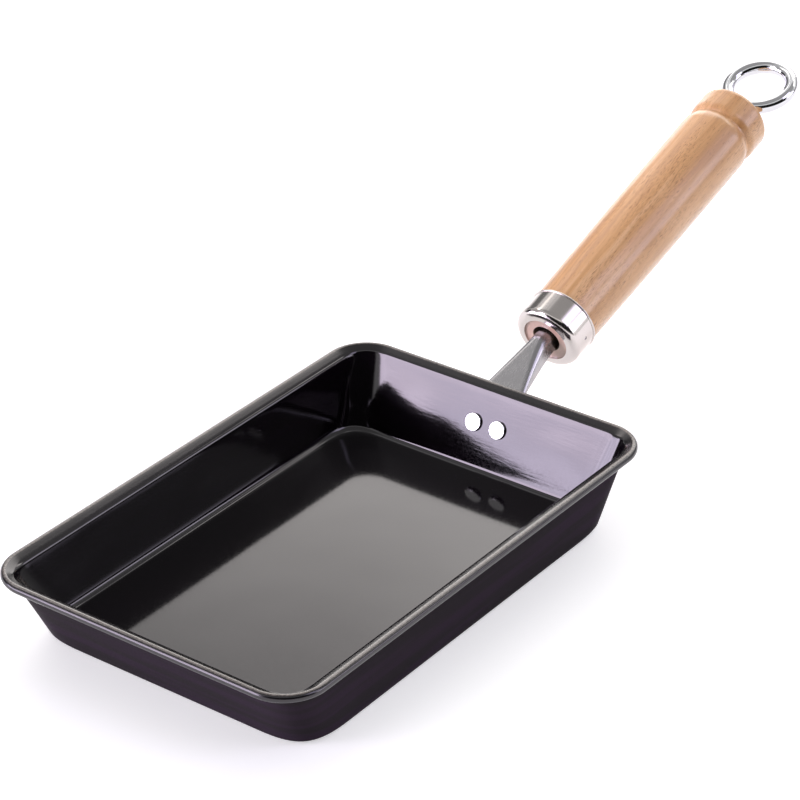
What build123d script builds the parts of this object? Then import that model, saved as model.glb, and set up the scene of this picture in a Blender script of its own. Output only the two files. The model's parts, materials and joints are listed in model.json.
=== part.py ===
from build123d import *
from math import asin, atan, atan2, cos, degrees, hypot, radians, sin, tan
import os

# Rectangular omelette pan: a pressed steel tray, a riveted sheet bracket and a turned wooden handle
# that one long ring-headed bolt holds against the bracket.
# Origin at the centre of the flat underside, +Y towards the handle, +Z up.

# Pan: outer sizes of the rim, sharp outer outline of the floor
sheet = 1.2
rim_width = 140.0
rim_length = 215.8
rim_height = 31.5
rim_corner = 17.4
floor_width = 125.0
floor_length = 182.2
floor_corner = 17.4
floor_bend = 4.0
flange_width = 5.8
flange_angle = radians(26)
mouth_bend = 2.0
lip_radius = 1.6
lip_turn = 160

# Handle axis: where it passes over the end of the rim, and how it rises from there
axis_height = 28.05
handle_angle = radians(18)

# Bracket: riveted foot on the back wall, then a plate that folds into an upright channel
bracket_sheet = 1.3
foot_bottom = 9.0
foot_top = 21.2
foot_half_width = 12.5
foot_corner = 5.0
foot_bend = 5.0
root_along = 2.5
root_step = 1.5
root_bend = 5.0
root_half_width = 8.7
root_top = 0.0
root_drop = 1.5
root_corner = 1.5
throat_along = 27.0
throat_half_width = 3.9
throat_top = 4.6
throat_drop = 3.7
throat_corner = 3.2
fold_power = 1.15
fold_steps = 5
bracket_end = 43.2

# Rivets through the back wall
rivet_spacing = 11.2
rivet_height = 17.5
rivet_radius = 2.0
rivet_head_radius = 3.6
rivet_head_height = 0.9
rivet_tail_radius = 2.9
rivet_tail_height = 1.5
rivet_edge = 0.3

# Ferrule
ferrule_start = 30.5
ferrule_length = 13.4
ferrule_radius = 14.2
ferrule_wall = 0.8
ferrule_mouth_radius = 9.7
ferrule_edge = 3.0
ferrule_bead = 0.45
punch_radius = 0.8
punch_along = 7.3

# Wooden grip: radii along its length
grip_front_radius = 13.9
grip_middle_radius = 14.7
grip_back_radius = 15.0
grip_end = 155.7
grip_shoulder_length = 4.8
groove_radius = 13.8
groove_width = 0.6
cap_rise = 3.4
cap_radius = 15.05
cap_edge = 2.5
wood_end = 174.6
recess_radius = 6.0
bolt_bore_radius = 3.0
spigot_chamfer = 0.6

# Ring-headed bolt, nut and washer
bolt_radius = 2.5
nut_height = 4.0
nut_across_flats = 8.0
nut_bore_radius = 2.55
bolt_overlap = 3.0
washer_radius = 6.5
washer_height = 1.0
collar_radius = 4.8
collar_height = 1.6
ring_along = 194.4
ring_radius = 13.1
ring_wire_radius = 2.85
neck_flare = 1.2

# Clearances
press_gap = 0.05
bolt_gap = 0.15
overrun = 10.0

# Values worked out from the sizes above
flange_run = flange_width - lip_radius * (1 + sin(flange_angle))
mouth_height = rim_height - lip_radius + lip_radius * cos(flange_angle) - flange_run * tan(flange_angle)
mouth_width = rim_width - 2 * flange_width
mouth_length = rim_length - 2 * flange_width
mouth_corner = rim_corner - flange_width


def wall_lean(mouth, floor):
    """Lean of a wall whose outer face starts at the floor's edge and whose inner face ends at the mouth."""
    spread = (mouth - floor) / 2
    return atan2(spread, mouth_height) + asin(sheet / hypot(spread, mouth_height))


side_lean = wall_lean(mouth_width, floor_width)
end_lean = wall_lean(mouth_length, floor_length)
handle = Plane(
    origin=(0, rim_length / 2, axis_height),
    x_dir=(-1, 0, 0),
    z_dir=(0, cos(handle_angle), sin(handle_angle)),
)


def turned(outline):
    """Solid of revolution about the handle's axis from an outline of (radius, distance along)."""
    return handle * revolve(Plane.XZ * make_face(outline), Axis.Z)


def on_end_wall(height, depth=0):
    """Distance along Y of the back wall's face at a height: depth 0 outside, one sheet inside."""
    return floor_length / 2 + height * tan(end_lean) - depth / cos(end_lean)


# Pan body
def wall_section(height, depth):
    """Outline of the walls at a height: depth 0 on their outside, one sheet on their inside."""
    corner = floor_corner + (mouth_corner + sheet - floor_corner) * height / mouth_height
    width = floor_width + 2 * (height * tan(side_lean) - depth / cos(side_lean))
    length = floor_length + 2 * (height * tan(end_lean) - depth / cos(end_lean))
    return Pos(0, 0, height) * RectangleRounded(width, length, corner - depth)


def rim_ring():
    """Sloping flange with its outer edge rolled over, carried round the mouth."""
    slope = degrees(flange_angle)
    centre = (flange_width - lip_radius, rim_height - lip_radius - mouth_height)
    outer = CenterArc(centre, lip_radius, 90 + slope, -lip_turn)
    inner = CenterArc(centre, lip_radius - sheet, 90 + slope, -lip_turn)
    foot = Vector(-sheet, -sheet * tan(flange_angle))
    foot_under = foot - Vector(0, sheet / cos(flange_angle))
    profile = make_face(
        [
            Line(foot, outer @ 0),
            outer,
            Line(outer @ 1, inner @ 1),
            inner,
            Line(inner @ 0, foot_under),
            Line(foot_under, foot),
        ]
    )
    path = (Pos(0, 0, mouth_height) * RectangleRounded(mouth_width, mouth_length, mouth_corner)).wire()
    outward = (path % 0).cross(Vector(0, 0, 1))
    if outward.dot(path @ 0) < 0:
        outward = -outward
    section = Plane(origin=path @ 0, x_dir=outward, z_dir=outward.cross(Vector(0, 0, 1)))
    return sweep(section * profile, path)


def pan_body():
    body = loft([wall_section(0, 0), wall_section(mouth_height, 0)], ruled=True)
    body += rim_ring()
    body -= loft([wall_section(sheet, sheet), wall_section(mouth_height + overrun, sheet)], ruled=True)
    near = sheet / 4
    mouth_edges = body.edges().filter_by_position(Axis.Z, mouth_height - near, mouth_height + near)
    body = fillet(mouth_edges, mouth_bend)
    body = fillet(body.edges().filter_by_position(Axis.Z, sheet - near, sheet + near), floor_bend)
    body = fillet(body.edges().filter_by_position(Axis.Z, -near, near), floor_bend + sheet)
    for seat in rivet_seats():
        body -= seat * Cylinder(rivet_radius + press_gap, overrun)
    return body


# Rivets
def rivet_seats():
    """Planes on the inside of the back wall, left and right, facing out through it."""
    return [
        Plane(
            origin=(side * rivet_spacing / 2, on_end_wall(rivet_height, sheet), rivet_height),
            x_dir=(1, 0, 0),
            z_dir=(0, cos(end_lean), -sin(end_lean)),
        )
        for side in (-1, 1)
    ]


def rivet(seat):
    grip = sheet + bracket_sheet
    base = (Align.CENTER, Align.CENTER, Align.MIN)
    head = Pos(0, 0, -rivet_head_height) * Cylinder(rivet_head_radius, rivet_head_height, align=base)
    head = fillet(head.edges().sort_by(Axis.Z)[0], rivet_edge)
    shank = Cylinder(rivet_radius, grip, align=base)
    tail = Pos(0, 0, grip) * Cylinder(rivet_tail_radius, rivet_tail_height, align=base)
    tail = fillet(tail.edges().sort_by(Axis.Z)[-1], rivet_tail_height - rivet_edge)
    return seat * (head + shank + tail)


# Bracket
def channel_section(along, depth=0):
    """Outline of the folded plate across the handle's axis: depth 0 outside, one sheet inside."""
    flat = (1 - min(1, (along - root_along) / (throat_along - root_along))) ** fold_power
    half = throat_half_width + (root_half_width - throat_half_width) * flat
    top = throat_top + (root_top - throat_top) * flat
    drop = throat_drop + (root_drop - throat_drop) * flat
    corner = throat_corner + (root_corner - throat_corner) * flat
    low = -drop - (overrun if depth else 0)
    outline = Pos(0, (top - depth + low) / 2) * Rectangle(2 * (half - depth), top - depth - low)
    outline = fillet(outline.vertices().group_by(Axis.Y)[-1], corner - depth)
    return handle.offset(along) * outline


def channel(depth=0):
    """Folded part of the bracket, solid: the outer form, or the space under it."""
    run = throat_along - root_along
    stations = [root_along + run * step / fold_steps for step in range(fold_steps + 1)]
    folded = loft([channel_section(along, depth) for along in stations])
    length = bracket_end - throat_along + (overrun if depth else 0)
    return folded + extrude(channel_section(throat_along, depth), length, dir=handle.z_dir)


def bracket_strip():
    """Foot on the back wall and the bend that passes under the rim's lip."""
    slope = fold_power * (throat_top - root_top) / (throat_along - root_along)
    root = handle.from_local_coords(Vector(0, root_top, root_along))
    angle = handle_angle + atan(slope)
    knee = (root.Y - root_step * cos(angle), root.Z - root_step * sin(angle))
    line = FilletPolyline(
        (on_end_wall(foot_bottom - bracket_sheet), foot_bottom - bracket_sheet),
        (on_end_wall(foot_top), foot_top),
        knee,
        (root.Y, root.Z),
        radius=[foot_bend, root_bend],
    )
    profile = make_face(offset(line, bracket_sheet, side=Side.RIGHT))
    strip = extrude(Plane.YZ * profile, foot_half_width, both=True)
    corners = [
        (-foot_half_width, foot_bottom),
        (foot_half_width, foot_bottom),
        (foot_half_width, foot_top),
        (root_half_width, root.Z),
        (root_half_width, root.Z + overrun),
        (-root_half_width, root.Z + overrun),
        (-root_half_width, root.Z),
        (-foot_half_width, foot_top),
    ]
    front = make_face(Polyline(*corners, close=True))
    levels = front.vertices().group_by(Axis.Y)
    front = fillet(levels[0] + levels[1], foot_corner)
    strip &= extrude(Plane.XZ * front, rim_length, both=True)
    return split(strip, handle.offset(root_along), keep=Keep.BOTTOM)


def handle_bracket():
    body = bracket_strip() + (channel() - channel(bracket_sheet))
    for seat in rivet_seats():
        body -= seat * Cylinder(rivet_radius + press_gap, overrun)
    return body


# Ferrule, pressed over the front of the wood and staked by a punch mark each side
def punch_balls(radius):
    """A ball at each side of the ferrule, centred just outside its face."""
    reach = ferrule_radius + punch_radius / 4
    return [handle * Pos(side * reach, 0, ferrule_start + punch_along) * Sphere(radius) for side in (-1, 1)]


def ferrule():
    start = ferrule_start
    end = ferrule_start + ferrule_length
    inner = ferrule_radius - ferrule_wall
    edge = ferrule_edge
    bend = (ferrule_radius - edge, start + edge)
    outline = [
        Line((ferrule_mouth_radius, start), (ferrule_radius - edge, start)),
        CenterArc(bend, edge, -90, 90),
        Line((ferrule_radius, start + edge), (ferrule_radius, end - 2 * ferrule_bead)),
        CenterArc((ferrule_radius, end - ferrule_bead), ferrule_bead, -90, 180),
        Line((ferrule_radius, end), (inner, end)),
        Line((inner, end), (inner, start + edge)),
        CenterArc(bend, edge - ferrule_wall, 0, -90),
        Line((ferrule_radius - edge, start + ferrule_wall), (ferrule_mouth_radius, start + ferrule_wall)),
        Line((ferrule_mouth_radius, start + ferrule_wall), (ferrule_mouth_radius, start)),
    ]
    body = turned(outline)
    for dent, bump in zip(punch_balls(punch_radius), punch_balls(punch_radius + ferrule_wall)):
        keep = handle * Pos(0, 0, start + punch_along) * Cylinder(ferrule_radius - ferrule_wall / 2, edge * 2)
        body += bump & keep
        body -= dent
    return body


# Wooden handle
def wood_handle():
    start = ferrule_start + ferrule_wall
    step = ferrule_start + ferrule_length
    spigot = ferrule_radius - ferrule_wall - press_gap
    corner = ferrule_edge - ferrule_wall
    groove = grip_end + grip_shoulder_length
    cap_start = groove + groove_width + cap_rise
    recess_floor = bracket_end + nut_height
    middle = (step + grip_end) / 2
    outline = [
        Line((recess_radius, start), (spigot - corner - spigot_chamfer, start)),
        Line((spigot - corner - spigot_chamfer, start), (spigot, start + corner + spigot_chamfer)),
        Line((spigot, start + corner + spigot_chamfer), (spigot, step)),
        Line((spigot, step), (grip_front_radius, step)),
        ThreePointArc((grip_front_radius, step), (grip_middle_radius, middle), (grip_back_radius, grip_end)),
        TangentArc((grip_back_radius, grip_end), (groove_radius, groove), tangent=(0, 1)),
        Line((groove_radius, groove), (groove_radius, groove + groove_width)),
        TangentArc((cap_radius, cap_start), (groove_radius, groove + groove_width), tangent=(0, -1)),
        Line((cap_radius, cap_start), (cap_radius, wood_end - cap_edge)),
        CenterArc((cap_radius - cap_edge, wood_end - cap_edge), cap_edge, 0, 90),
        Line((cap_radius - cap_edge, wood_end), (bolt_bore_radius, wood_end)),
        Line((bolt_bore_radius, wood_end), (bolt_bore_radius, recess_floor)),
        Line((bolt_bore_radius, recess_floor), (recess_radius, recess_floor)),
        Line((recess_radius, recess_floor), (recess_radius, start)),
    ]
    body = turned(outline)
    for bump in punch_balls(punch_radius + ferrule_wall + press_gap):
        body -= bump
    return body


# Nut at the end of the bracket
def bracket_nut():
    base = (Align.CENTER, Align.CENTER, Align.MIN)
    blank = extrude(RegularPolygon(nut_across_flats / 2, 6, major_radius=False), nut_height)
    bore = Cylinder(nut_bore_radius, overrun, align=base)
    return handle * Pos(0, 0, bracket_end) * (blank - bore)


# Washer between the bolt's collar and the end of the wood
def end_washer():
    base = (Align.CENTER, Align.CENTER, Align.MIN)
    blank = Cylinder(washer_radius, washer_height, align=base)
    bore = Cylinder(bolt_radius + bolt_gap, overrun)
    return handle * Pos(0, 0, wood_end) * (blank - bore)


# Ring-headed bolt
def hanging_bolt():
    seat = wood_end + washer_height + bolt_gap
    top = seat + collar_height
    ring_start = ring_along - ring_radius
    tip = bracket_end - bolt_overlap
    outline = [
        Line((0, tip), (bolt_radius, tip)),
        Line((bolt_radius, tip), (bolt_radius, seat)),
        Line((bolt_radius, seat), (collar_radius, seat)),
        Line((collar_radius, seat), (collar_radius, top)),
        Line((collar_radius, top), (ring_wire_radius + neck_flare, top)),
        Line((ring_wire_radius + neck_flare, top), (ring_wire_radius, top + neck_flare)),
        Line((ring_wire_radius, top + neck_flare), (ring_wire_radius, ring_start)),
        Line((ring_wire_radius, ring_start), (0, ring_start)),
        Line((0, ring_start), (0, tip)),
    ]
    ring = Plane(origin=(0, 0, ring_along), z_dir=(0, 1, 0)) * Torus(ring_radius, ring_wire_radius)
    return turned(outline) + handle * ring


nodes = {
    "pan_body": pan_body(),
    "handle_bracket": handle_bracket(),
    "rivet_left": rivet(rivet_seats()[0]),
    "rivet_right": rivet(rivet_seats()[1]),
    "bracket_nut": bracket_nut(),
    "ferrule": ferrule(),
    "wood_handle": wood_handle(),
    "end_washer": end_washer(),
    "hanging_bolt": hanging_bolt(),
}
os.makedirs("parts", exist_ok=True)
for name, shape in nodes.items():
    export_step(shape, f"parts/{name}.step")
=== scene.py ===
import json
from math import asin, atan2, cos, pi, radians, sin, tan

import bmesh
import bpy
from mathutils import Matrix, Vector


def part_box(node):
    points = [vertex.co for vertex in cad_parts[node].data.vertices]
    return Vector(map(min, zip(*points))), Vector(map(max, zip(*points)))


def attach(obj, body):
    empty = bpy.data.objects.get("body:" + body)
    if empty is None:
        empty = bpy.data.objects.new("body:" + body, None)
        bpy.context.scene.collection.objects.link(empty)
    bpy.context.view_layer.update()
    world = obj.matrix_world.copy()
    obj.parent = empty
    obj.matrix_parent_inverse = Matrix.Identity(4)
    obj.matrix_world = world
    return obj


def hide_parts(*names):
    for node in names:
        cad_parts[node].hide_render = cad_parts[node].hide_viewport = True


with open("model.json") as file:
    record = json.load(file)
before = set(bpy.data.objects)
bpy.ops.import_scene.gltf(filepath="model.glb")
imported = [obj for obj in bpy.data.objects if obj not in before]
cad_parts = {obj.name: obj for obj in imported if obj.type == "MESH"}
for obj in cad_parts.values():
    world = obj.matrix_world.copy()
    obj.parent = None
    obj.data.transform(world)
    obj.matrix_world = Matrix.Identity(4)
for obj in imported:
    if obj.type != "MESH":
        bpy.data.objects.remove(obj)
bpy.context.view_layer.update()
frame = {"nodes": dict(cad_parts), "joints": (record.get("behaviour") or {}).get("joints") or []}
mm = 0.001

# Handle axis, from the joint of the ring-headed bolt
joint = frame["joints"][0]
axis_point = Vector(joint["pos_m"])
axis = Vector(joint["axis"]).normalized()
handle_tilt = asin(axis.z)

# Pan sizes, on the inner face of the sheet
sheet = 1.2 * mm
rim_half_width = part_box("pan_body")[1].x
rim_half_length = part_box("pan_body")[1].y
rim_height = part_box("pan_body")[1].z
rim_corner = 17.4 * mm
mouth_corner = 9.6 * mm
side_flange = 6.3 * mm
end_flange = 5.2 * mm
flange_angle = radians(26)
lip_radius = 1.6 * mm
lip_turn = radians(160)
mouth_bend = 2.0 * mm
floor_half_width = 61.4 * mm
floor_half_length = 90.3 * mm
floor_bend = 2.8 * mm
floor_corner = 20.0 * mm
wall_foot_corner = 13.4 * mm
corner_spread = 1.4
end_crease = 0.25 * mm
crease_share = 0.4

# Uneven left end of the back wall: how far it stands inwards, and where that starts, peaks and fades
swell_depth = 0.9 * mm
swell_foot = 3.0 * mm
swell_peak = 12.0 * mm
swell_top = 27.0 * mm
swell_left = -57.0 * mm
swell_right = -20.0 * mm
swell_front = 88.0 * mm
swell_back = 93.0 * mm


# Node helpers
def new_material(name):
    material = bpy.data.materials.new(name)
    material.use_nodes = True
    tree = material.node_tree
    tree.nodes.clear()
    shader = tree.nodes.new("ShaderNodeBsdfPrincipled")
    output = tree.nodes.new("ShaderNodeOutputMaterial")
    tree.links.new(shader.outputs[0], output.inputs["Surface"])
    return material, tree, shader


def node(tree, kind, settings=None, **inputs):
    """Adds a node, sets its properties, and sets or links each named input."""
    made = tree.nodes.new(kind)
    for key, value in (settings or {}).items():
        setattr(made, key, value)
    for key, value in inputs.items():
        plug(tree, made.inputs[key], value)
    return made


def plug(tree, socket, value):
    if isinstance(value, bpy.types.NodeSocket):
        tree.links.new(value, socket)
    else:
        socket.default_value = value


def maths(tree, operation, *values):
    made = node(tree, "ShaderNodeMath", {"operation": operation})
    for socket, value in zip(made.inputs, values):
        plug(tree, socket, value)
    return made.outputs[0]


def vector_maths(tree, operation, *values):
    made = node(tree, "ShaderNodeVectorMath", {"operation": operation})
    for socket, value in zip(made.inputs, values):
        plug(tree, socket, value)
    return made


def ramp(tree, value, stops):
    made = node(tree, "ShaderNodeValToRGB", Fac=value)
    band = made.color_ramp
    while len(band.elements) < len(stops):
        band.elements.new(1)
    for element, (place, colour) in zip(band.elements, stops):
        element.position = place
        element.color = (*colour, 1)
    return made.outputs["Color"]


def between(tree, value, low, high, new_low=0.0, new_high=1.0):
    """Eases from new_low to new_high while the value goes from low to high."""
    made = node(tree, "ShaderNodeMapRange", {"interpolation_type": "SMOOTHSTEP", "clamp": True})
    for socket, item in zip(made.inputs, (value, low, high, new_low, new_high)):
        plug(tree, socket, item)
    return made.outputs["Result"]


def mix(tree, share, a, b, blend="MIX"):
    made = node(tree, "ShaderNodeMix", {"data_type": "RGBA", "blend_type": blend})
    plug(tree, made.inputs[0], share)
    plug(tree, made.inputs[6], a)
    plug(tree, made.inputs[7], b)
    return made.outputs[2]


def noise(tree, vector, scale, detail=3.0, roughness=0.5):
    inputs = {"Vector": vector, "Scale": scale, "Detail": detail, "Roughness": roughness}
    return node(tree, "ShaderNodeTexNoise", **inputs).outputs["Fac"]


def bump(tree, height, strength, distance, normal=None):
    made = node(tree, "ShaderNodeBump", Height=height, Strength=strength, Distance=distance)
    if normal is not None:
        plug(tree, made.inputs["Normal"], normal)
    return made.outputs["Normal"]


def millimetres(tree):
    """Place on the object at rest, in millimetres."""
    place = node(tree, "ShaderNodeTexCoord").outputs["Object"]
    return vector_maths(tree, "MULTIPLY", place, (1 / mm, 1 / mm, 1 / mm)).outputs[0]


def along_handle(tree):
    """Place in millimetres in the handle's frame: X across, Y along the axis, Z across."""
    place = node(tree, "ShaderNodeTexCoord").outputs["Object"]
    moved = vector_maths(tree, "SUBTRACT", place, tuple(axis_point)).outputs[0]
    turned = node(
        tree,
        "ShaderNodeVectorRotate",
        {"rotation_type": "X_AXIS"},
        Vector=moved,
        Angle=-handle_tilt,
    )
    return vector_maths(tree, "MULTIPLY", turned.outputs[0], (1 / mm, 1 / mm, 1 / mm)).outputs[0]


def stretched(tree, vector, x=1.0, y=1.0, z=1.0):
    return vector_maths(tree, "MULTIPLY", vector, (x, y, z)).outputs[0]


# Materials, with places and depths below the rim in millimetres
lip_roughness = 0.12
lip_top_start = 0.28
lip_top_full = 0.05
lip_top_tone = (0.30, 0.26, 0.22, 1)
satin_start = 1.6
satin_full = 0.9
plain_below = 3.0
uneven_above = 6.0
dull_share = 0.93
fibre_tone = (0.52, 0.250, 0.095, 1)
pore_tone = (0.38, 0.14, 0.03, 1)
front_tone = (0.72, 0.50, 0.42, 1)
recess_shade_tone = (0.15, 0.105, 0.060, 1)
front_grain_end = 31.6
recess_radius = 6.05
recess_end = 48.0


def coated_steel(name, ior, roughness, colour):
    """Black baked coating over pressed steel: violet bands, a satin lip with a light beige line along its
    very top, faint streaks on the walls.
    """
    material, tree, shader = new_material(name)
    place = millimetres(tree)
    fine = noise(tree, place, 1.3, 2.0, 0.6)
    streaks = noise(tree, stretched(tree, place, 0.12, 0.12, 0.9), 1.0, 3.0, 0.6)
    dents = noise(tree, stretched(tree, place, 0.028, 0.028, 0.05), 1.0, 1.0)
    bands = noise(tree, stretched(tree, place, 0.012, 0.012, 0.20), 1.0, 2.0)
    violet = (colour[0] * 1.25, colour[1] * 1.05, colour[2] * 1.35)
    tone = mix(tree, between(tree, bands, 0.40, 0.66), (*colour, 1), (*violet, 1))
    height = node(tree, "ShaderNodeSeparateXYZ", Vector=place).outputs["Z"]
    top = rim_height / mm
    # A light beige line along the very top of the lip, made patchy by the fine noise
    lip_top_share = between(tree, height, top - lip_top_start, top - lip_top_full)
    lip_top_share = maths(tree, "MULTIPLY", lip_top_share, between(tree, fine, 0.3, 0.6, 0.12, 0.50))
    plug(tree, shader.inputs["Base Color"], mix(tree, lip_top_share, tone, lip_top_tone))
    satin = between(tree, height, top - satin_start, top - satin_full, 0.0, lip_roughness)
    gloss = between(tree, fine, 0.3, 0.7, roughness, roughness * 1.6)
    plug(tree, shader.inputs["Roughness"], maths(tree, "ADD", gloss, satin))
    shader.inputs["IOR"].default_value = ior
    shader.inputs["Specular Tint"].default_value = (1.0, 0.97, 1.0, 1)
    pressed = bump(tree, dents, between(tree, height, plain_below, uneven_above, 0.1, 0.5), 0.5 * mm)
    on_wall = between(tree, height, plain_below, uneven_above, 0.0, 0.35)
    drawn = bump(tree, streaks, on_wall, 0.04 * mm, pressed)
    plug(tree, shader.inputs["Normal"], bump(tree, fine, 0.05, 0.015 * mm, drawn))
    return material


def metal(name, colour, roughness, spread, scratch_scale, place_of=millimetres):
    """Plated metal with faint uneven polish."""
    material, tree, shader = new_material(name)
    place = place_of(tree)
    cloud = noise(tree, place, 0.12, 3.0)
    marks = noise(tree, stretched(tree, place, *scratch_scale), 1.0, 4.0, 0.6)
    uneven = maths(tree, "ADD", maths(tree, "MULTIPLY", cloud, 0.5), maths(tree, "MULTIPLY", marks, 0.5))
    gloss = between(tree, uneven, 0.3, 0.7, roughness - spread, roughness + spread)
    plug(tree, shader.inputs["Roughness"], gloss)
    darker = tuple(value * dull_share for value in colour)
    plug(tree, shader.inputs["Base Color"], mix(tree, cloud, (*darker, 1), (*colour, 1)))
    shader.inputs["Metallic"].default_value = 1.0
    plug(tree, shader.inputs["Normal"], bump(tree, marks, 0.05, 0.01 * mm))
    return material


def beech():
    """Steamed beech: tan with darker growth bands, rays and short dark pore flecks along the grain, and
    painted shade in the bore at the front.
    """
    material, tree, shader = new_material("beech")
    place = along_handle(tree)
    waver = noise(tree, stretched(tree, place, 0.05, 0.012, 0.05), 1.0, 2.0)
    shift = vector_maths(tree, "SCALE", (1.0, 0.0, 0.6))
    plug(tree, shift.inputs["Scale"], maths(tree, "MULTIPLY", waver, 9.0))
    bent = vector_maths(tree, "ADD", place, shift.outputs[0]).outputs[0]
    bands = noise(tree, stretched(tree, bent, 0.30, 0.010, 0.07), 1.0, 3.0, 0.55)
    fibres = noise(tree, stretched(tree, bent, 2.6, 0.09, 2.6), 1.0, 3.0, 0.6)
    pores = noise(tree, stretched(tree, bent, 6.5, 0.36, 6.5), 1.0, 0.5, 0.5)
    zones = noise(tree, stretched(tree, bent, 0.16, 0.02, 0.16), 1.0, 2.0)
    tone = ramp(
        tree,
        bands,
        [
            (0.34, (0.62, 0.305, 0.112)),
            (0.50, (0.78, 0.425, 0.172)),
            (0.66, (0.89, 0.540, 0.275)),
        ],
    )
    tone = mix(tree, between(tree, fibres, 0.35, 0.75, 0.0, 0.40), tone, fibre_tone)
    threshold = between(tree, zones, 0.35, 0.65, 0.69, 0.57)
    fleck = between(tree, maths(tree, "SUBTRACT", pores, threshold), 0.0, 0.06, 0.0, 0.8)
    tone = mix(tree, fleck, tone, pore_tone)
    parts = node(tree, "ShaderNodeSeparateXYZ", Vector=place).outputs
    across = vector_maths(tree, "LENGTH", stretched(tree, place, y=0.0)).outputs["Value"]
    front = between(tree, parts["Y"], front_grain_end, front_grain_end + 0.2, 1.0, 0.0)
    tone = mix(tree, maths(tree, "MULTIPLY", front, 0.8), tone, front_tone)
    # Painted shade: dark brown inside the bore at the front of the handle, where the tang enters
    recess_shade = maths(tree, "LESS_THAN", across, recess_radius)
    recess_shade = maths(tree, "MULTIPLY", recess_shade, maths(tree, "LESS_THAN", parts["Y"], recess_end))
    tone = mix(tree, recess_shade, tone, recess_shade_tone)
    plug(tree, shader.inputs["Base Color"], tone)
    plug(tree, shader.inputs["Roughness"], between(tree, fibres, 0.3, 0.7, 0.36, 0.46))
    shader.inputs["IOR"].default_value = 1.5
    shader.inputs["Coat Weight"].default_value = 0.85
    shader.inputs["Coat Roughness"].default_value = 0.20
    height = maths(tree, "SUBTRACT", maths(tree, "MULTIPLY", fibres, 0.25), fleck)
    plug(tree, shader.inputs["Normal"], bump(tree, height, 0.10, 0.05 * mm))
    return material


# Pan body, one sheet: floor, bend, walls, mouth bend, flange and rolled lip
floor_rings = 8
bend_steps = 12
wall_steps = 14
mouth_steps = 8
flange_steps = 3
lip_steps = 14
corner_steps = 20
side_steps = 40
end_steps = 26


def bent_line(start, middle, end, steps):
    """Points between start and end of a line that turns softly at its middle."""
    before = start.lerp(middle, 1 - crease_share)
    after = middle.lerp(end, crease_share)
    points = []
    for step in range(1, steps):
        share = step / steps
        t = (share - 0.5) / crease_share + 0.5
        if t <= 0:
            spot = start.lerp(middle, 2 * share)
        elif t >= 1:
            spot = middle.lerp(end, 2 * share - 1)
        else:
            spot = before.lerp(middle, t).lerp(middle.lerp(after, t), t)
        points.append(tuple(spot))
    return points


def profile(floor_half, rim_half, flange_width, crease=0.0):
    """Inner face of the sheet from the foot of the bend to the lip's edge: points (out, up)."""
    mouth_half = rim_half - flange_width
    run = flange_width - lip_radius * (1 + sin(flange_angle))
    mouth_up = rim_height - lip_radius + lip_radius * cos(flange_angle) - run * tan(flange_angle)
    foot = Vector((floor_half, sheet))
    mouth = Vector((mouth_half, mouth_up))
    middle = foot.lerp(mouth, 0.5) - Vector((crease, 0))
    lower_lean = atan2(middle.x - foot.x, middle.y - foot.y)
    lean = atan2(mouth.x - middle.x, mouth.y - middle.y)
    points = []
    # Floor bend
    turn = pi / 2 - lower_lean
    reach = floor_bend * tan(turn / 2)
    centre = (floor_half - reach, sheet + floor_bend)
    for step in range(bend_steps + 1):
        angle = turn * step / bend_steps
        points.append((centre[0] + floor_bend * sin(angle), centre[1] - floor_bend * cos(angle)))
    # Wall, up to the mouth bend
    turn = pi / 2 - lean
    mouth_turn = turn - flange_angle
    back_off = mouth_bend * tan(mouth_turn / 2)
    start = Vector(points[-1])
    end = Vector((mouth_half - back_off * sin(lean), mouth_up - back_off * cos(lean)))
    points += bent_line(start, middle, end, wall_steps)
    # Mouth bend
    hub = (end.x + mouth_bend * cos(lean), end.y - mouth_bend * sin(lean))
    for step in range(mouth_steps + 1):
        angle = turn - mouth_turn * step / mouth_steps
        points.append((hub[0] - mouth_bend * sin(angle), hub[1] + mouth_bend * cos(angle)))
    # Flange
    lip_centre = (mouth_half + flange_width - lip_radius, rim_height - lip_radius)
    lip_start = Vector(
        (lip_centre[0] - lip_radius * sin(flange_angle), lip_centre[1] + lip_radius * cos(flange_angle))
    )
    start = Vector(points[-1])
    for step in range(1, flange_steps):
        points.append(tuple(start.lerp(lip_start, step / flange_steps)))
    # Lip
    for step in range(lip_steps + 1):
        angle = pi / 2 + flange_angle - lip_turn * step / lip_steps
        points.append((lip_centre[0] + lip_radius * cos(angle), lip_centre[1] + lip_radius * sin(angle)))
    return points


def corner_radii(side):
    """Corner radius of the outline at each point of the profile."""
    mouth_half = rim_half_width - side_flange
    radii = []
    for index, (out, up) in enumerate(side):
        if index <= bend_steps:
            share = sin(pi / 2 * index / bend_steps)
            radii.append(floor_corner + (wall_foot_corner - floor_corner) * share)
        elif index <= bend_steps + wall_steps:
            share = (index - bend_steps) / wall_steps
            radii.append(wall_foot_corner + (mouth_corner - wall_foot_corner) * share)
        else:
            share = (out - mouth_half) / side_flange
            radii.append(mouth_corner + (rim_corner - mouth_corner) * share)
    return radii


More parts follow.
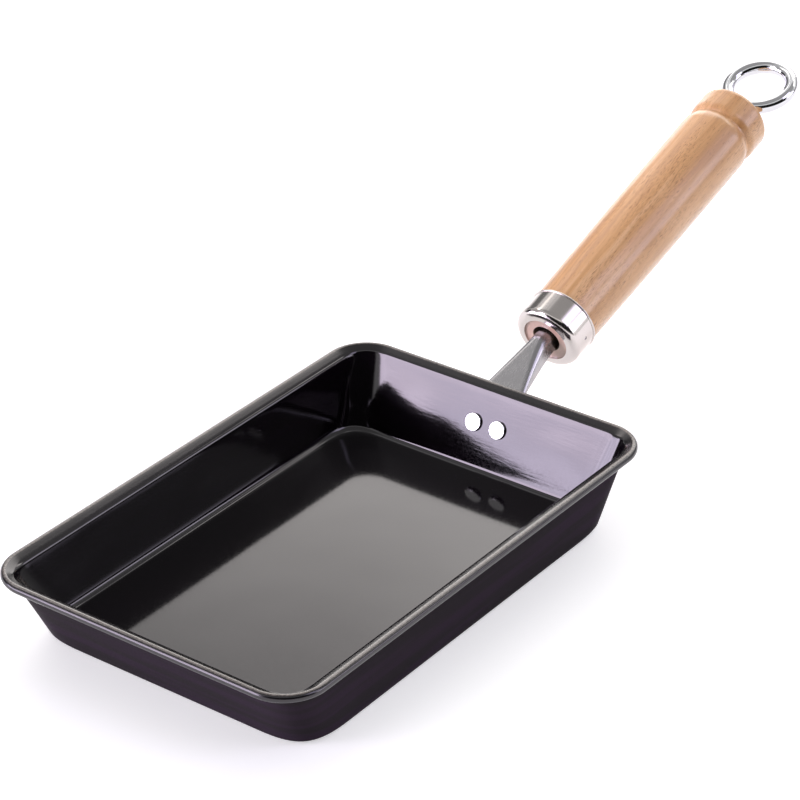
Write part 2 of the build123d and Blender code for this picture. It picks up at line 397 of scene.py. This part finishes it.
def outline_ring(side, end, corner, spread):
    """Closed rounded rectangle: side and end are (half size, height) of the long sides and the ends.

    A corner cuts off as much as an arc of its radius, but starts and ends more gently,
    spread times as far out.
    """
    reach = corner * spread
    pull = (4 - 8 * (1 - cos(pi / 4)) / spread) / 3
    shares = [step / corner_steps for step in range(corner_steps + 1)]
    ring = []
    for quarter in range(4):
        sign_x = 1 if quarter in (0, 3) else -1
        sign_y = 1 if quarter in (0, 1) else -1
        curve = []
        for t in shares:
            first = (1 - t) ** 3
            second = 3 * t * (1 - t) ** 2
            third = 3 * t * t * (1 - t)
            last = t ** 3
            x = side[0] - reach * (last + third * (1 - pull))
            y = end[0] - reach * (first + second * (1 - pull))
            blend = t * t * (3 - 2 * t)
            height = side[1] + (end[1] - side[1]) * blend
            curve.append(Vector((sign_x * x, sign_y * y, height)))
        if quarter % 2:
            curve.reverse()
        ring += curve
        steps = end_steps if quarter % 2 == 0 else side_steps
        a = ring[-1].copy()
        flip_x = quarter % 2 == 0
        b = Vector((-a.x if flip_x else a.x, a.y if flip_x else -a.y, a.z))
        ring.extend(a.lerp(b, step / steps) for step in range(1, steps))
    return ring


def eased(value, start, end):
    share = min(1, max(0, (value - start) / (end - start)))
    return share * share * (3 - 2 * share)


def uneven(spot):
    """A point of the sheet, moved inwards where the back wall's left end isn't flat."""
    rise = (spot.z - swell_foot) / (swell_peak - swell_foot)
    fall = (swell_top - spot.z) / (swell_top - swell_peak)
    across = eased(spot.x, swell_right, swell_left)
    share = max(0, min(rise, fall)) * across * eased(spot.y, swell_front, swell_back)
    return spot - Vector((0, swell_depth * share, 0))


def pan_shell():
    side = profile(floor_half_width, rim_half_width, side_flange)
    end = profile(floor_half_length, rim_half_length, end_flange, end_crease)
    radii = corner_radii(side)
    rings = []
    for step in range(1, floor_rings):
        share = step / floor_rings
        side_spot = (side[0][0] * share, sheet)
        end_spot = (end[0][0] * share, sheet)
        rings.append(outline_ring(side_spot, end_spot, floor_corner * share, corner_spread))
    rim_start = bend_steps + wall_steps
    for index, (side_spot, end_spot, radius) in enumerate(zip(side, end, radii)):
        share = min(1, max(0, (index - rim_start) / (len(side) - 1 - lip_steps - rim_start)))
        spread = corner_spread + (1 - corner_spread) * share
        rings.append([uneven(spot) for spot in outline_ring(side_spot, end_spot, radius, spread)])
    mesh = bmesh.new()
    rows = [[mesh.verts.new(spot) for spot in ring] for ring in rings]
    mesh.faces.new(rows[0])
    for inner, outer in zip(rows, rows[1:]):
        for i in range(len(inner)):
            j = (i + 1) % len(inner)
            mesh.faces.new((inner[i], outer[i], outer[j], inner[j]))
    bmesh.ops.recalc_face_normals(mesh, faces=mesh.faces)
    return as_object(mesh, "pan_shell")


# Bracket: one strip, riveted flat to the back wall, that folds into an upright channel open below
wall_foot = 91.1 * mm
wall_lean = radians(22.54)
plate = 1.3 * mm
foot_bottom = 9.0 * mm
foot_top = 21.2 * mm
foot_half = 12.5 * mm
foot_corner = 5.0 * mm
foot_bend = 5.0 * mm
root_along = 2.5 * mm
root_half = 8.7 * mm
root_drop = 1.5 * mm
root_corner = 1.2 * mm
throat_along = 27.0 * mm
throat_half = 3.9 * mm
throat_top = 4.6 * mm
throat_drop = 3.7 * mm
throat_corner = 3.2 * mm
fold_power = 1.15
bracket_end = 43.2 * mm
edge_round = 0.3 * mm
smallest_round = 0.15 * mm
drop_steps = 3
round_steps = 6
top_steps = 6
foot_steps = 10
close_steps = 6
fold_steps = 8
root_steps = 5
channel_steps = 40


def bracket_section(spot, tilt, half, drop, corner):
    """Closed outline of the plate across its path: over the outer face, then back inside."""

    def half_way(inset, round_off):
        points = []
        reach = half - inset
        for step in range(drop_steps):
            points.append((reach, -drop + (drop - inset - round_off) * step / drop_steps))
        for step in range(round_steps + 1):
            angle = pi / 2 * step / round_steps
            points.append((reach - round_off * (1 - cos(angle)), -inset - round_off * (1 - sin(angle))))
        for step in range(1, top_steps + 1):
            points.append(((reach - round_off) * (1 - step / top_steps), -inset))
        return points

    outer = half_way(0, corner)
    inner = half_way(plate, max(corner - plate, smallest_round) if drop > plate + smallest_round else 0)
    outline = outer + [(-x, y) for x, y in reversed(outer[:-1])]
    back = inner + [(-x, y) for x, y in reversed(inner[:-1])]
    outline += reversed(back)
    up = Vector((0, -sin(tilt), cos(tilt)))
    return [spot + Vector((x, 0, 0)) + up * y for x, y in outline]


def bracket_stations():
    """Place, tilt, half width, side drop and corner radius at each step along the upper face."""

    def on_wall(height):
        return Vector((0, wall_foot + height * tan(wall_lean), height))

    steep = pi / 2 - wall_lean
    slope = handle_tilt + atan2(fold_power * throat_top, throat_along - root_along)
    across = Vector((0, -sin(handle_tilt), cos(handle_tilt)))
    root = axis_point + axis * root_along
    run = Vector((0, cos(slope), sin(slope)))
    top = on_wall(foot_top)
    gentle = atan2(root.z - top.z, root.y - top.y)
    back_off = foot_bend * tan((steep - gentle) / 2)
    down = Vector((0, -cos(steep), -sin(steep)))
    bend_start = top + down * back_off
    hub = bend_start + Vector((0, sin(steep), -cos(steep))) * foot_bend
    path = []
    for step in range(foot_steps + 1):
        share = 1 - cos(pi / 2 * step / foot_steps) if step < close_steps else step / foot_steps
        height = foot_bottom + (bend_start.z - foot_bottom) * share
        path.append((on_wall(height), steep))
    for step in range(1, fold_steps + 1):
        tilt = steep + (gentle - steep) * step / fold_steps
        path.append((hub + Vector((0, -sin(tilt), cos(tilt))) * foot_bend, tilt))
    last = path[-1][0]
    for step in range(1, root_steps):
        tilt = gentle + (handle_tilt - gentle) * step / root_steps
        path.append((last.lerp(root, step / root_steps), tilt))
    stations = []
    for spot, tilt in path:
        half = foot_half
        if spot.z > foot_top:
            half += (root_half - foot_half) * (spot.z - foot_top) / (root.z - foot_top)
        below = foot_bottom + foot_corner - spot.z
        if below > 0:
            half -= foot_corner - (max(0, foot_corner ** 2 - below ** 2)) ** 0.5
        fold = max(0, (spot.z - foot_top) / (root.z - foot_top))
        corner = edge_round + (root_corner - edge_round) * fold
        stations.append((spot, tilt, half, plate + (root_drop - plate) * fold, corner))
    for step in range(channel_steps + 1):
        along = root_along + (bracket_end - root_along) * step / channel_steps
        flat = max(0, 1 - (along - root_along) / (throat_along - root_along)) ** fold_power
        half = throat_half + (root_half - throat_half) * flat
        drop = throat_drop + (root_drop - throat_drop) * flat
        corner = throat_corner + (root_corner - throat_corner) * flat
        spot = axis_point + axis * along + across * throat_top * (1 - flat)
        stations.append((spot, handle_tilt, half, drop + throat_top * (1 - flat), corner))
    return stations


def bracket_plate():
    mesh = bmesh.new()
    rows = [[mesh.verts.new(spot) for spot in bracket_section(*station)] for station in bracket_stations()]
    mesh.faces.new(rows[0])
    mesh.faces.new(rows[-1])
    for before, after in zip(rows, rows[1:]):
        for i in range(len(before)):
            j = (i + 1) % len(before)
            mesh.faces.new((before[i], after[i], after[j], before[j]))
    bmesh.ops.remove_doubles(mesh, verts=mesh.verts, dist=0.001 * mm)
    bmesh.ops.recalc_face_normals(mesh, faces=mesh.faces)
    made = as_object(mesh, "bracket_plate")
    made.data.set_sharp_from_angle(angle=radians(40))
    return made


def as_object(mesh, name, smooth=True):
    data = bpy.data.meshes.new(name)
    mesh.to_mesh(data)
    mesh.free()
    for face in data.polygons:
        face.use_smooth = smooth
    made = bpy.data.objects.new(name, data)
    bpy.context.scene.collection.objects.link(made)
    return made


def dress(name, material):
    shown = frame["nodes"][name]
    shown.data.materials.clear()
    shown.data.materials.append(material)


shell = pan_shell()
thickness = shell.modifiers.new("sheet", "SOLIDIFY")
thickness.thickness = sheet
thickness.offset = -1
thickness.use_even_offset = True
thickness.use_quality_normals = True
thickness.material_offset = 1
shell.data.materials.append(coated_steel("coating_inside", 1.65, 0.06, (0.0035, 0.0025, 0.0035)))
shell.data.materials.append(coated_steel("coating_outside", 1.04, 0.30, (0.0330, 0.0280, 0.0315)))
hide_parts("pan_body")
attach(shell, "pan")

steel = metal("bracket_steel", (0.43, 0.42, 0.435), 0.26, 0.04, (6.0, 0.4, 0.4))
bracket = bracket_plate()
bracket.data.materials.append(steel)
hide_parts("handle_bracket")
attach(bracket, "pan")
rivet_metal = metal("rivet_metal", (0.86, 0.86, 0.86), 0.22, 0.05, (3.0, 3.0, 3.0))
dress("rivet_left", rivet_metal)
dress("rivet_right", rivet_metal)
dress("bracket_nut", metal("nut_steel", (0.60, 0.60, 0.58), 0.30, 0.05, (3.0, 3.0, 3.0)))
dress("end_washer", metal("washer_steel", (0.66, 0.66, 0.65), 0.25, 0.05, (3.0, 3.0, 3.0)))
dress("ferrule", metal("ferrule_plate", (0.65, 0.60, 0.58), 0.13, 0.03, (1.5, 6.0, 1.5), along_handle))
dress("hanging_bolt", metal("ring_chrome", (0.68, 0.68, 0.70), 0.06, 0.02, (2.0, 2.0, 2.0)))
dress("wood_handle", beech())


# Floor
floor_size = 8.0
floor_cells = 8
floor_drop = 0.05 * mm
floor_glow = 0.50


def sees_background(tree):
    """1 for the rays that show the white background: the camera's, and those in metal and glass."""
    path = node(tree, "ShaderNodeLightPath").outputs
    total = maths(tree, "ADD", path["Is Camera Ray"], path["Is Glossy Ray"])
    total = maths(tree, "ADD", total, path["Is Transmission Ray"])
    return maths(tree, "MINIMUM", total, 1.0)


def pale_floor():
    material, tree, shader = new_material("pale_floor")
    place = millimetres(tree)
    cloud = noise(tree, place, 0.02, 2.0)
    plug(tree, shader.inputs["Base Color"], mix(tree, cloud, (0.90, 0.90, 0.90, 1), (0.93, 0.93, 0.93, 1)))
    shader.inputs["Roughness"].default_value = 0.8
    shader.inputs["Emission Color"].default_value = (1, 1, 1, 1)
    glow = maths(tree, "MULTIPLY", sees_background(tree), floor_glow)
    plug(tree, shader.inputs["Emission Strength"], glow)
    return material


mesh = bmesh.new()
bmesh.ops.create_grid(mesh, x_segments=floor_cells, y_segments=floor_cells, size=floor_size / 2)
floor = as_object(mesh, "studio_floor", smooth=False)
floor.location.z = -floor_drop
floor.data.materials.append(pale_floor())


# Studio light: a world of soft panels seen by direction, later ones over earlier ones
# A panel has the bearing and elevation of its centre, then half width and half height,
# all in degrees, then its level, its tint and the width of its soft edge in degrees
neutral = (1.0, 1.0, 1.0)
panels = [
    # Ceiling
    (0, 90, 200, 34, 0.40, neutral, 5.0),
    (122, 58, 17, 8, 1.1, neutral, 3.0),
    # Far side: grey surround, the large window that the pan's floor mirrors, its dim part, and what it lacks
    (148, 45, 24, 17, 0.85, neutral, 4.0),
    (115.5, 24, 27.5, 27, 3.0, (1.03, 1.0, 0.97), 1.5),
    (133, 35, 7, 2.5, 1.5, (1.03, 1.0, 0.97), 3.0),
    (140, 39, 8, 5, 0.7, neutral, 5.0),
    (83, 5, 41, 8, 0.25, neutral, 2.0),
    (158, 19, 15, 12, 0.20, neutral, 3.0),
    # Left side, greys, a dark card and the strip that the back lip mirrors
    (190, 52, 24, 9, 0.6, neutral, 3.0),
    (205, 36, 30, 14, 0.5, neutral, 4.0),
    (191, 11, 13, 10, 0.02, neutral, 2.0),
    (223, 20, 13, 20, 0.5, neutral, 3.0),
    (173.5, 48, 23.5, 4.5, 2.6, (1.04, 1.0, 0.96), 1.5),
    # Near side: the lavender light in the pan's back wall, beside a black card
    (255, 35, 19, 8, 0.60, neutral, 3.0),
    (313.5, 23, 58.5, 21, 0.015, neutral, 3.0),
    (256, 5, 7, 12, 1.3, (0.96, 0.88, 1.10), 4.0),
    (228.5, 4.5, 23.5, 12.5, 7.6, (0.96, 0.88, 1.10), 2.0),
    (237, 24, 8.5, 12.5, 8.2, (1.0, 0.89, 1.08), 1.5),
    # Right side: a small light with greys above it
    (30, 44, 30, 11, 0.45, neutral, 4.0),
    (18, 44, 16, 11, 2.6, (0.94, 0.88, 1.16), 4.0),
    (66, 50, 21.5, 8, 0.42, neutral, 1.0),
    (73, 39, 11, 4.5, 4.6, (1.04, 1.0, 0.96), 1.5),
    (60.5, 33, 3.5, 4, 2.2, neutral, 1.0),
    (31, 19, 14.5, 9, 3.8, (0.98, 0.93, 1.10), 2.5),
    (46, 26, 6, 4.5, 0.55, neutral, 1.5),
]
base_level = 0.36
patch_scale = 14.0
patch_dimmest = 0.85
patch_brightest = 1.12
patch_fade_start = 14.0
patch_fade_end = 24.0


def studio_world():
    world = bpy.data.worlds.new("studio")
    bpy.context.scene.world = world
    world.use_nodes = True
    tree = world.node_tree
    tree.nodes.clear()
    direction = node(tree, "ShaderNodeTexCoord").outputs["Generated"]
    parts = node(tree, "ShaderNodeSeparateXYZ", Vector=direction).outputs
    elevation = maths(tree, "DEGREES", maths(tree, "ARCSINE", parts["Z"]))
    bearing = maths(tree, "DEGREES", maths(tree, "ARCTAN2", parts["Y"], parts["X"]))
    total = mix(tree, sees_background(tree), (base_level, base_level, base_level, 1), (1, 1, 1, 1))
    for centre, height, half_width, half_height, level, tint, panel_edge in panels:
        off = maths(tree, "SUBTRACT", bearing, float(centre))
        off = maths(tree, "ABSOLUTE", maths(tree, "WRAP", off, 180.0, -180.0))
        up = maths(tree, "ABSOLUTE", maths(tree, "SUBTRACT", elevation, float(height)))
        inside = maths(
            tree,
            "MULTIPLY",
            between(tree, off, half_width - panel_edge, half_width + panel_edge, 1.0, 0.0),
            between(tree, up, half_height - panel_edge, half_height + panel_edge, 1.0, 0.0),
        )
        colour = tuple(level * part for part in tint)
        total = mix(tree, inside, total, (*colour, 1))
    patchy = between(tree, noise(tree, direction, patch_scale, 2.0), 0.3, 0.7, patch_dimmest, patch_brightest)
    low = between(tree, elevation, patch_fade_start, patch_fade_end, 1.0, 0.0)
    total = mix(tree, low, total, patchy, "MULTIPLY")
    ray = node(tree, "ShaderNodeLightPath").outputs["Is Camera Ray"]
    shown = mix(tree, ray, total, (1, 1, 1, 1))
    background = node(tree, "ShaderNodeBackground", Color=shown)
    output = node(tree, "ShaderNodeOutputWorld")
    tree.links.new(background.outputs[0], output.inputs["Surface"])


studio_world()


# Camera, fitted to the photograph
focal_pixels = 3142.321
image_pixels = 800
sensor = 36.0
camera_azimuth = radians(37.2386)
camera_elevation = radians(29.6133)
camera_roll = radians(-0.7624)
camera_shift = Vector((-25.2546, -64.2109, -1145.4618)) * mm


def add_camera():
    az, el = camera_azimuth, camera_elevation
    back = Vector((sin(az) * cos(el), -cos(az) * cos(el), sin(el)))
    level = Vector((cos(az), sin(az), 0))
    upright = back.cross(level)
    right = level * cos(camera_roll) + upright * sin(camera_roll)
    up = upright * cos(camera_roll) - level * sin(camera_roll)
    turn = Matrix((right, up, back))
    data = bpy.data.cameras.new("camera")
    data.sensor_width = sensor
    data.lens = focal_pixels / image_pixels * sensor
    data.clip_end = 20
    camera = bpy.data.objects.new("camera", data)
    bpy.context.scene.collection.objects.link(camera)
    spot = -(turn.transposed() @ camera_shift)
    camera.matrix_world = Matrix.Translation(spot) @ turn.transposed().to_4x4()
    bpy.context.scene.camera = camera


add_camera()
bpy.context.scene.view_settings.view_transform = "Standard"
